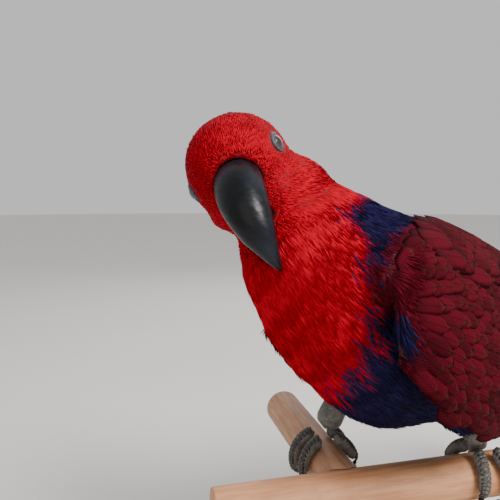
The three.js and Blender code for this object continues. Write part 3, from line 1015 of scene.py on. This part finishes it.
class PARROT_OT_skin(bpy.types.Operator):
    """Make one seamless skin under the plumage of head, body and wings"""
    bl_idname = "parrot.skin"
    bl_label = "Skin"

    def execute(self, context):
        look = settings()
        skin = copy_of_nodes("skin", FLESH + ("eye_left", "eye_right"))
        apply_modifier(skin, "DISPLACE", strength=SKIN_SWELL * MM, mid_level=0.0)
        apply_modifier(skin, "REMESH", mode="VOXEL", voxel_size=SKIN_VOXEL * MM)
        apply_modifier(skin, "SMOOTH", factor=0.5, iterations=3)
        clear_of_bill = np.nonzero(bill_distance(points_of(skin.data)) > BILL_CLEARANCE)[0]
        skin.vertex_groups.new(name="open_coat").add(clear_of_bill.tolist(), 1.0, "REPLACE")
        apply_modifier(skin, "SMOOTH", factor=0.5, iterations=SKIN_SMOOTHING, vertex_group="open_coat")
        points = points_of(skin.data)
        normals = normals_of(skin.data)
        face = ease((36 - from_head(points)) / 8)
        depth = SKIN_SWELL + mix(look.coat_depth, look.face_depth, face) / MM
        depth = depth * ease((bill_distance(points) - 0.6) / 3.5)
        move_points(skin, points - normals * depth[:, None])
        apply_modifier(skin, "SMOOTH", factor=0.5, iterations=4)
        set_attribute(skin.data, "mark", markings(points_of(skin.data)))
        edit_all(skin, bpy.ops.uv.smart_project, angle_limit=math.radians(66), island_margin=0.004)
        skin.data.uv_layers[0].name = "OFBake"
        smooth(skin)
        finish_piece(skin, material("skin"), FLESH)
        return {"FINISHED"}


# How far from the head's middle its own tufts reach and the body's start, and the bare skin round an eye
HEAD_COAT_RADIUS = 31
BODY_COAT_RADIUS = 28
BARE_FACE_RADIUS = 4.7


def bare_face(points):
    """0 inside the eye rings, 1 where feathers grow."""
    ahead, left, up = EYE_PLACE
    away = np.minimum(*(distance(points, in_head(ahead, side * (left + 2), up)) for side in (-1, 1)))
    return ease((away - BARE_FACE_RADIUS) / 0.5)


def head_length(points):
    off_bill = distance(points, in_head(16, 0, -7))
    off_eye = np.minimum(*(distance(points, in_head(3, side * 18, 1)) for side in (-1, 1)))
    grown = mix(1.7, 6.2, ease((off_bill - 9) / 26))
    return np.minimum(grown, 1.4 + 0.4 * np.maximum(off_eye - 5, 0))


class PARROT_OT_head_plumage(bpy.types.Operator):
    """Set the head's short hair-like feathers, smallest round the bill and the eyes"""
    bl_idname = "parrot.head_plumage"
    bl_label = "Head feathers"

    def execute(self, context):
        def weight(points):
            short = 1 + 1.4 * ease((30 - distance(points, in_head(14, 0, -2))) / 14)
            return (from_head(points) < HEAD_COAT_RADIUS) * bare_face(points) * short

        piece = tufts("head_feathers", settings().head_tufts, weight, head_length, 0.24, 101, 0.17)
        finish_piece(piece, material("tuft"))
        return {"FINISHED"}


# Where along the body the groups of tufts meet, how near the perch they grow, and the shoulder's limits
NECK_START = 158
BREAST_END = 160
BELLY_START = 8
FLANK_END = 118
LEG_FEATHERS = 12
SHOULDER_Y = -36
SHOULDER_X = 18


def off_head(points):
    return from_head(points) > BODY_COAT_RADIUS


def neck(points):
    return off_head(points) & ~on_wing(points, 7) & (body_place(points)[0] > NECK_START)


def breast(points):
    along, angle = body_place(points)
    front = (along <= BREAST_END) & (along > red_edge(angle) - 5)
    return off_head(points) & ~on_wing(points, 7) & front


def belly(points):
    along, angle = body_place(points)
    low = (angle > 114) | ((angle > 75) & (along < FLANK_END))
    under = low & (along < red_edge(angle) + 2) & (along > BELLY_START)
    return under & ~on_wing(points, 6) & (points[:, 2] > PERCH_HEIGHT + LEG_FEATHERS)


def mantle(points):
    along, angle = body_place(points)
    low, high = back_edge(angle) - 2, red_edge(angle) + 8
    return (angle < 88) & (along > low) & (along < high) & off_head(points)


def wing_edge(points):
    """The wing's foot, and the front edge that no other group covers."""
    foot = wing_line(WING_FOOT, points[:, 1], WING_FLANK)[:, 0]
    near = on_wing(points, 9) & (points[:, 2] - PERCH_HEIGHT < foot + 7)
    covered = neck(points) | breast(points) | belly(points) | mantle(points)
    front = (points[:, 1] < SHOULDER_Y) & off_head(points) & ~covered
    return (near | front) & (np.abs(points[:, 0]) > SHOULDER_X)


def neck_length(points):
    grown = mix(6.5, 9.5, ease((from_head(points) - 30) / 14))
    return np.minimum(grown, 2.6 + bill_distance(points) * 0.55)


# Body tufts: name, slot, share of the count, where, length, width share, seed, lift, margin at the wing
BODY_TUFTS = (
    ("neck", "red_feather", 1.0, neck, neck_length, 0.2, 102, 0.12, 5.0),
    ("breast", "red_feather", 1.0, breast, lambda points: 11.0, 0.19, 103, 0.12, 5.0),
    ("wing_edge", "maroon_feather", 0.5, wing_edge, lambda points: 5.5, 0.3, 106, 0.1, 9.0),
    ("mantle", "blue_feather", 0.5, mantle, lambda points: 9.0, 0.2, 105, 0.17, 5.0),
    ("belly", "blue_feather", 1.0, belly, lambda points: 11.0, 0.22, 104, 0.12, 5.0),
)


class PARROT_OT_body_plumage(bpy.types.Operator):
    """Set the neck, breast, mantle, wing-edge and belly feathers as fine overlapping locks"""
    bl_idname = "parrot.body_plumage"
    bl_label = "Body feathers"

    def execute(self, context):
        for name, slot, share, *shape in BODY_TUFTS:
            piece = tufts(f"{name}_feathers", int(settings().body_tufts * share), *shape)
            finish_piece(piece, material("tuft"))
        return {"FINISHED"}


def plain_marks(count, blue, maroon, orange):
    return np.tile((blue, maroon, orange, 1.0), (count, 1))


BACK_FEATHERS = 1500


class PARROT_OT_back_plumage(bpy.types.Operator):
    """Lay the rounded feathers of the back and rump over the skin"""
    bl_idname = "parrot.back_plumage"
    bl_label = "Back and rump"

    def execute(self, context):
        draw = np.random.default_rng(201)

        def weight(points):
            along, angle = body_place(points)
            upper = (angle < 84) & (along < back_edge(angle) + 3) & (along > 4)
            clear = ~on_wing(points, 3) & (~on_wing(points, 9) | (along < 112))
            return upper * clear * (1 + 1.5 * (along > 110))

        points, normals, places = skin_samples(BACK_FEATHERS, weight, draw)[:3]
        lie = feather_lie(points, normals)
        along = body_place(points)[0]
        small = ease((along - 100) / 40)
        length = mix(15, 8.5, small) * draw.uniform(0.85, 1.15, len(points))
        width = mix(9.5, 4.6, small) * draw.uniform(0.85, 1.1, len(points))
        low = np.full(len(points), -0.5)
        marks = sharpened(markings(points, draw.normal(0, MARK_WOBBLE, len(points))), 0.4, 0.2)
        marks[:, 1] = np.maximum(marks[:, 1], 1 - marks[:, 0])
        piece = vanes("back_feathers", on_skin(points, normals, lie), length, width, (low, low + 2.0),
                      marks, 202, rows=6, maps=places)
        finish_piece(piece, material("vane"))
        return {"FINISHED"}


# Wing coverts: name, y from and to, step, share from and to, gap across, length, width, rise, slope
WING_COVERTS = (
    ("lesser", -50, 8, 3.4, 0.08, 1.0, 4.4, 9.5, 6.4, (-0.9, 0.6), 14),
    ("median", 2, 34, 6.0, 0.16, 1.0, 6.6, 16.0, 9.0, (-0.9, 0.8), 14),
    ("greater", 26, 58, 10.0, 0.22, 1.0, 8.0, 27.0, 11.5, (-0.9, 1.0), 13),
    ("scapular", -34, 42, 5.5, 0.03, 0.27, 5.6, 15.0, 8.6, (0.0, 1.9), 14),
)


def wing_piece(name, side, y, share, slope, length, width, rise, marks, seed, replaced=(), **shape):
    """Lays one group of feathers on a wing, the right wing's as the left one's mirror image."""
    inner = on_wing_face(y, share, slope, side)

    def place(along, wide):
        return inner(along, wide * side)

    piece = vanes(name, place, length, width, rise, marks, seed, **shape)
    finish_piece(piece, material("vane"), replaced)


class PARROT_OT_wing_coverts(bpy.types.Operator):
    """Lay the rows of coverts and the scapulars over each folded wing"""
    bl_idname = "parrot.wing_coverts"
    bl_label = "Wing coverts"

    def execute(self, context):
        for side, side_name in SIDES:
            for seed, group in enumerate(WING_COVERTS, 300):
                name, *grid, length, width, rise, slope = group
                draw = np.random.default_rng(seed)
                y, share = hex_rows(*grid, draw)
                band = shoulder_blue(*body_place(wing_points(y, share, side)))
                inside = (share + 0.25 * width / wing_height(y) < 1.03) & (band < 0.15)
                y, share = y[inside], share[inside]
                count = len(y)
                lengths = length * draw.uniform(0.9, 1.12, count)
                widths = width * draw.uniform(0.9, 1.12, count)
                slopes = np.radians(slope * (1 - share) + draw.normal(0, 3, count))
                low = np.full(count, rise[0])
                high = rise[1] + draw.uniform(-0.25, 0.35, count)
                marks = plain_marks(count, 0.0, 1.0, 0.0)
                marks[:, 0] = 0.2 * draw.uniform(0, 1, count) ** 3
                wing_piece(f"{name}_coverts_{side_name}", side, y, share, slopes, lengths, widths,
                           (low, high), marks, seed + 20)
        return {"FINISHED"}


# Primaries, secondaries and tertials: count, then first and last y, share of the wing's height,
# slope, length, width and height of the tip
FLIGHT_FEATHERS = (
    (10, (66, 66), (0.82, 0.3), (2, 9), (44, 99), (13, 11), (0.3, -0.6)),
    (12, (34, 46), (0.93, 0.2), (1, 15), (56, 66), (15, 15), (0.5, 1.9)),
    (4, (40, 52), (0.16, 0.02), (15, 13), (62, 44), (16, 16), (2.1, 2.6)),
)


class PARROT_OT_flight_feathers(bpy.types.Operator):
    """Stack the long primaries, secondaries and tertials behind the coverts"""
    bl_idname = "parrot.flight_feathers"
    bl_label = "Flight feathers"

    def execute(self, context):
        groups = [[mix(first, last, np.arange(count) / (count - 1)) for first, last in spans]
                  for count, *spans in FLIGHT_FEATHERS]
        y, share, slope, length, width, high = (np.concatenate(column) for column in zip(*groups))
        marks = plain_marks(len(y), 0.0, 1.0, 0.0)
        primaries = slice(FLIGHT_FEATHERS[0][0])
        marks[primaries, :2] = (1.0, 0.2)
        for side, side_name in SIDES:
            slopes = np.radians(slope + np.random.default_rng(350).normal(0, 0.8, len(y)))
            wing_piece(f"flight_feathers_{side_name}", side, y, share, slopes, length, width,
                       (high - 1.9, high), marks, 351, (f"primaries_{side_name}",), rows=22, columns=7,
                       blunt=0.3, camber=0.35, ragged=0.9)
        return {"FINISHED"}


# The tail's slope, root, length, width at root and tip, and how far it arches across
TAIL_SLOPE = math.radians(21)
TAIL_ROOT = (0, 80, 53 + PERCH_HEIGHT)
TAIL_LENGTH = 118
TAIL_HALF_WIDTHS = (15, 31)
TAIL_ARCH = 7
TAIL_FEATHERS = 12
TAIL_COVERTS = 90


def tail_fan(offsets, starts, levels):
    """A place function that spreads feathers over the arched tail."""
    back = np.array((0, math.cos(TAIL_SLOPE), -math.sin(TAIL_SLOPE)))
    up = np.array((0, math.sin(TAIL_SLOPE), math.cos(TAIL_SLOPE)))

    def place(along, wide):
        reach = starts[:, None, None] + along
        half = mix(*TAIL_HALF_WIDTHS, reach / TAIL_LENGTH)
        x = offsets[:, None, None] * (half - 5) + wide
        lift = levels[:, None, None] - TAIL_ARCH * (x / np.maximum(half, 1)) ** 2
        points = np.array(TAIL_ROOT) + reach[..., None] * back + lift[..., None] * up
        points[..., 0] += x
        normals = np.stack(np.broadcast_arrays(x * 2 * TAIL_ARCH / half ** 2, up[1], up[2]), -1)
        return points, unit(normals)

    return place


class PARROT_OT_tail(bpy.types.Operator):
    """Fan the twelve tail feathers and the coverts at their roots"""
    bl_idname = "parrot.tail"
    bl_label = "Tail"

    def execute(self, context):
        offsets = np.linspace(-1, 1, TAIL_FEATHERS)
        levels = 2.4 * (1 - np.abs(offsets)) + 0.4
        length = TAIL_LENGTH - 15 * offsets ** 2
        marks = plain_marks(TAIL_FEATHERS, 0.04, 0.35, 0.9)
        flat = np.zeros(TAIL_FEATHERS)
        piece = vanes("tail_feathers", tail_fan(-offsets, flat, levels), length, flat + 15.5, (flat, flat),
                      marks, 401, rows=26, columns=7, blunt=0.2, camber=0.3, ragged=0.8, thick=0.35)
        finish_piece(piece, material("tail"), ("tail",))
        draw = np.random.default_rng(402)
        offsets = draw.uniform(-0.95, 0.95, TAIL_COVERTS)
        starts = draw.uniform(-14, 22, TAIL_COVERTS)
        levels = 4.0 - 1.2 * np.abs(offsets) - starts * 0.03
        low = np.full(TAIL_COVERTS, -1.6)
        length = draw.uniform(19, 27, TAIL_COVERTS)
        piece = vanes("tail_coverts", tail_fan(-offsets, starts, levels), length, length * 0.42,
                      (low, low + 2.2), plain_marks(TAIL_COVERTS, 0.0, 0.75, 0.1), 403)
        finish_piece(piece, material("vane"))
        return {"FINISHED"}


# Below this height in the head's own measures the upper bill is drawn out to a point, over this length
BILL_TIP_TOP = -21
BILL_TIP_LENGTH = 12


class PARROT_OT_bill(bpy.types.Operator):
    """Smooth the two halves of the horn bill"""
    bl_idname = "parrot.bill"
    bl_label = "Bill"

    def execute(self, context):
        for node in ("bill_upper", "bill_lower"):
            piece = copy_of_nodes(f"{node}_horn", (node,))
            apply_modifier(piece, "SUBSURF", levels=2, render_levels=2)
            off = points_of(piece.data) - EYES_MIDDLE
            tip = np.clip((BILL_TIP_TOP - off @ HEAD_UP) / BILL_TIP_LENGTH, 0, 1)[:, None]
            across = (off @ HEAD_LEFT)[:, None] * HEAD_LEFT
            if node == "bill_lower":
                shaped = EYES_MIDDLE + off + across * 0.1 + HEAD_LEFT
            else:
                shaped = EYES_MIDDLE + off - across * tip * 0.4 - HEAD_UP * tip ** 2 * 3.4
            move_points(piece, shaped)
            smooth(piece)
            finish_piece(piece, material("horn"), (node,))
        return {"FINISHED"}


# An eye's axis, sideways and ahead, how far its middle lies inside its place, and its rings' stretch
EYE_AXIS = (0.98, 0.2)
EYE_SUNK = 0.5
EYE_OPENING = (1.05, 0.92)
# The bare skin round each eye: name, radius, thickness, how far out it sits, and how flat it is
EYE_RINGS = (("ring", 3.75, 0.9, 1.75, 0.8), ("lid", 3.1, 0.4, 2.35, 1.0))


class PARROT_OT_eyes(bpy.types.Operator):
    """Make the eyes, each in a ring of bare skin with an upper and a lower lid"""
    bl_idname = "parrot.eyes"
    bl_label = "Eyes"

    def execute(self, context):
        ahead, left, up = EYE_PLACE
        for side, name in SIDES:
            out = Vector(HEAD_LEFT * side * EYE_AXIS[0] + HEAD_AHEAD * EYE_AXIS[1]).normalized()
            level = out.cross(Vector(HEAD_UP)).normalized()
            turn = Matrix((level, out.cross(level), out)).transposed().to_euler()
            centre = Vector(in_head(ahead, side * left, up))
            clear_selection()
            middle = centre - out * EYE_SUNK
            bpy.ops.mesh.primitive_uv_sphere_add(segments=48, ring_count=32, radius=EYE_RADIUS * MM,
                                                 location=middle * MM, rotation=turn)
            eye = primitive(f"eyeball_{name}")
            offset = unit(points_of(eye.data) - np.array(middle)) @ np.array(out)
            ring = np.where(offset > 0, np.sqrt(np.clip(1 - offset ** 2, 0, 1)), 1)
            set_attribute(eye.data, "quill", np.stack((ring, ring, ring, ring), -1))
            smooth(eye)
            finish_piece(eye, material("eye"), (f"eye_{name}",))
            for part, radius, thick, rise, flat in EYE_RINGS:
                clear_selection()
                bpy.ops.mesh.primitive_torus_add(
                    major_segments=56, minor_segments=12, major_radius=radius * MM,
                    minor_radius=thick * MM, location=(centre + out * rise) * MM, rotation=turn)
                context.object.scale = (*EYE_OPENING, flat)
                lid = primitive(f"eye_{part}_{name}")
                smooth(lid)
                finish_piece(lid, material("lid"))
        return {"FINISHED"}


# Each foot's place on its perch, the way its front toes point, and which side its inner toe is on
LEGS = {
    "left": {"at": 31 * PERCH_ALONG + PERCH_SIDE * PERCH_AWAY, "toes": -PERCH_AWAY, "mirror": -1},
    "right": {"at": -31 * PERCH_ALONG + 14 * PERCH_AWAY, "toes": -PERCH_ALONG, "mirror": 1},
}
# Toes: name, front or back, inner or outer, and length round the perch
TOES = (
    ("inner_front", 1, 1, 22), ("outer_front", 1, -1, 28),
    ("inner_back", -1, 1, 17), ("outer_back", -1, -1, 24),
)
TOE_RADII = (3.1, 2.3)
TOE_SPREAD = (4.2, 7.35)
TOE_LINE_RADIUS = 12.6
SCUTE_SPACING = 1.7


def toe_scutes(leg, forward, across, length):
    """A place function for the plates along one toe, and the number of plates."""
    sideways = np.cross((0, 0, 1), leg["toes"])
    turn = length / TOE_LINE_RADIUS
    count = int(length / SCUTE_SPACING)
    starts = np.linspace(0.06, 0.94, count)

    def place(along, wide):
        share = np.clip(starts[:, None, None] + along / length, 0, 1)
        radius = mix(*TOE_RADII, share) * (0.35 + 0.65 * np.sqrt(np.clip((1 - share) / 0.12, 0.1, 1)))
        angle = mix(0.2, turn, share) * forward
        reach = PERCH_RADIUS + GAP + mix(*TOE_RADII, share)
        shift = across * leg["mirror"] * mix(*TOE_SPREAD, share)
        outward = np.stack([leg["toes"][i] * np.sin(angle) for i in (0, 1)] + [np.cos(angle)], -1)
        centre = leg["at"] + (0, 0, PERCH_HEIGHT) + shift[..., None] * sideways
        centre = centre + reach[..., None] * outward
        swing = wide / radius * -forward
        normals = np.cos(swing)[..., None] * outward + np.sin(swing)[..., None] * sideways
        return centre + normals * radius[..., None], normals

    return place, count


class PARROT_OT_feet(bpy.types.Operator):
    """Make the scaly feet with their rows of plates, and the claws"""
    bl_idname = "parrot.feet"
    bl_label = "Feet and claws"

    def execute(self, context):
        for name, leg in LEGS.items():
            nodes = [f"foot_{name}"] + [f"toe_{kind}_{name}" for kind, *rest in TOES]
            foot = copy_of_nodes(f"scaled_foot_{name}", nodes)
            apply_modifier(foot, "DISPLACE", strength=0.22 * MM, mid_level=0.0)
            apply_modifier(foot, "REMESH", mode="VOXEL", voxel_size=0.55 * MM)
            apply_modifier(foot, "SMOOTH", factor=0.5, iterations=6)
            apply_modifier(foot, "DISPLACE", strength=-0.15 * MM, mid_level=0.0)
            smooth(foot)
            finish_piece(foot, material("scale"), nodes)
            for kind, forward, across, length in TOES:
                place, count = toe_scutes(leg, forward, across, length)
                size = np.full(count, 2.5)
                low = np.full(count, -0.35)
                scutes = vanes(f"scutes_{kind}_{name}", place, size, size * 2.3, (low, low + 0.65),
                               plain_marks(count, 0, 0, 0), 500, rows=5, columns=9, blunt=0.3,
                               thick=0.2, camber=0.0, ragged=0.0, maps=np.full((count, 2), 0.5))
                finish_piece(scutes, material("scale"))
                node = f"claw_{kind}_{name}"
                claw = copy_of_nodes(f"{node}_horn", (node,))
                apply_modifier(claw, "SUBSURF", levels=2, render_levels=2)
                smooth(claw)
                finish_piece(claw, material("horn"), (node,))
        return {"FINISHED"}


def dowel(name, start, end, radius):
    middle = (Vector(start) + Vector(end)) / 2 * MM
    axis = Vector(end) - Vector(start)
    clear_selection()
    bpy.ops.mesh.primitive_cylinder_add(
        vertices=96, radius=radius * MM, depth=axis.length * MM, location=middle,
        rotation=axis.to_track_quat("Z", "Y").to_euler())
    return primitive(name)


class PARROT_OT_perches(bpy.types.Operator):
    """Make the two turned wooden perches, the side one fitted round the front one"""
    bl_idname = "parrot.perches"
    bl_label = "Perches"

    def execute(self, context):
        lift = np.array((0, 0, PERCH_HEIGHT))
        ends = [PERCH_ALONG * along + PERCH_AWAY * PERCH_SIDE + lift for along in FRONT_PERCH]
        front = dowel("perch_front_dowel", *ends, PERCH_RADIUS)
        start = PERCH_ALONG * SIDE_PERCH[0] + PERCH_AWAY * PERCH_SIDE + lift
        side = dowel("perch_side_dowel", start, start + PERCH_AWAY * SIDE_PERCH[1], PERCH_RADIUS)
        cutter = dowel("cutter", *ends, PERCH_RADIUS + GAP)
        apply_modifier(side, "BOOLEAN", operation="DIFFERENCE", object=cutter, solver="EXACT")
        bpy.data.objects.remove(cutter)
        for piece, node, finish in ((front, "perch_front", "front_wood"), (side, "perch_side", "side_wood")):
            bevel(piece, 0.7)
            finish_piece(piece, material(finish), (node,))
        return {"FINISHED"}


class PARROT_OT_stand(bpy.types.Operator):
    """Finish the display stand's wooden base and metal rods"""
    bl_idname = "parrot.stand"
    bl_label = "Stand"

    def execute(self, context):
        for node, width, finish, slot in (("stand_base", 2.0, "stand_wood", "stand_wood"),
                                          ("stand_rod_1", 0.4, "metal", "stand_metal"),
                                          ("stand_rod_2", 0.4, "metal", "stand_metal")):
            piece = copy_of_nodes(f"{node}_finished", (node,))
            edit_all(piece, bpy.ops.mesh.dissolve_limited, angle_limit=math.radians(1))
            bevel(piece, width)
            finish_piece(piece, material(finish), (node,))
        return {"FINISHED"}


FLOOR_RADIUS = 6.0
SKY_COLOUR = (0.9, 0.9, 0.9, 1)
SKY_STRENGTH = 0.75
# Soft lights in metres and watts: name, place, size, power and colour, all aimed at the breast
LIGHT_AIM = (0.0, -0.02, 0.17)
LIGHTS = (
    ("key_light", (0.6, 0.0, 0.8), 0.4, 13.0, (1.0, 0.96, 0.92)),
    ("front_light", (0.35, -0.75, 0.5), 0.7, 1.2, (1.0, 0.98, 0.96)),
    ("back_light", (-0.7, 0.6, 0.7), 0.8, 2.5, (0.95, 0.97, 1.0)),
)


def soft_light(name, place, size, power, colour):
    bpy.ops.object.light_add(type="AREA", location=place)
    lamp = bpy.context.object
    lamp.name = name
    lamp.data.shape = "DISK"
    lamp.data.size = size
    lamp.data.energy = power
    lamp.data.color = colour
    lamp.rotation_euler = (Vector(LIGHT_AIM) - Vector(place)).to_track_quat("-Z", "Y").to_euler()


class PARROT_OT_stage(bpy.types.Operator):
    """Lay a plain pale floor and set soft studio lights"""
    bl_idname = "parrot.stage"
    bl_label = "Floor and lights"

    def execute(self, context):
        clear_selection()
        bpy.ops.mesh.primitive_circle_add(vertices=128, radius=FLOOR_RADIUS, fill_type="NGON")
        floor = primitive("floor")
        floor.data.materials.append(material("floor"))
        for light in LIGHTS:
            soft_light(*light)
        world = bpy.data.worlds.new("studio")
        world.use_nodes = True
        sky = world.node_tree.nodes["Background"].inputs
        sky["Color"].default_value = SKY_COLOUR
        sky["Strength"].default_value = SKY_STRENGTH
        context.scene.world = world
        return {"FINISHED"}


STEPS = (
    PARROT_OT_camera, PARROT_OT_skin, PARROT_OT_head_plumage, PARROT_OT_body_plumage, PARROT_OT_back_plumage,
    PARROT_OT_wing_coverts, PARROT_OT_flight_feathers, PARROT_OT_tail, PARROT_OT_bill, PARROT_OT_eyes,
    PARROT_OT_feet, PARROT_OT_perches, PARROT_OT_stand, PARROT_OT_stage,
)


class PARROT_PT_panel(bpy.types.Panel):
    """Lists the parrot's settings and pieces"""
    bl_idname = "PARROT_PT_panel"
    bl_label = "Eclectus Parrot"
    bl_space_type = "VIEW_3D"
    bl_region_type = "UI"
    bl_category = "Parrot"

    def draw(self, context):
        for name in ParrotSettings.__annotations__:
            self.layout.prop(context.scene.parrot, name)
        for step in STEPS:
            self.layout.operator(step.bl_idname)


CLASSES = (ParrotSettings, *STEPS, PARROT_PT_panel)


def register():
    for one in CLASSES:
        bpy.utils.register_class(one)
    bpy.types.Scene.parrot = bpy.props.PointerProperty(type=ParrotSettings)


def unregister():
    del bpy.types.Scene.parrot
    for one in reversed(CLASSES):
        bpy.utils.unregister_class(one)


def main():
    register()
    for step in STEPS:
        group, name = step.bl_idname.split(".")
        getattr(getattr(bpy.ops, group), name)()


if __name__ == "__main__":
    main()
